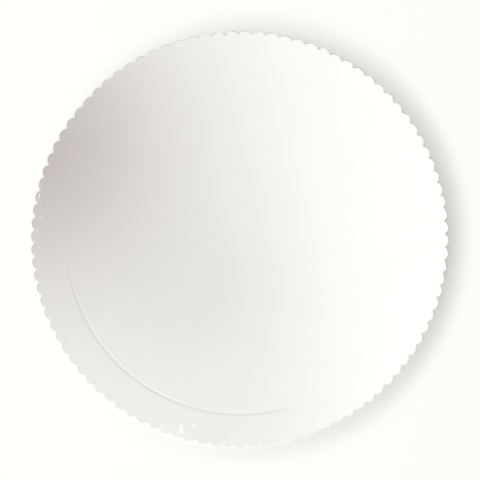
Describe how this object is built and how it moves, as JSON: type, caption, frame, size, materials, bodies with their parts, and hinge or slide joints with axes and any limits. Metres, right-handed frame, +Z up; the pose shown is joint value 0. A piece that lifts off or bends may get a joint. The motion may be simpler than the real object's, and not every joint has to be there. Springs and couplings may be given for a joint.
{
  "type": "scalloped round cake board",
  "caption": "Flat round white cake board with a scalloped edge and a pressed guide ring, on which a cake stands to be carried or served.",
  "frame": {"origin": "centre of the underside, where the board's axis meets the surface that it lies on", "axes": "+Z up out of the top face, along the board's axis; +X through the middle of one scallop's crest; +Y through a cusp between two scallops"},
  "size_m": [0.3, 0.2998, 0.003],
  "materials": {
    "white_board": "white laminated paperboard, satin gloss on the top face, matt on the underside and on the cut edge"
  },
  "bodies": {
    "root": {"cake_board": "white_board"}
  },
  "joints": []
}
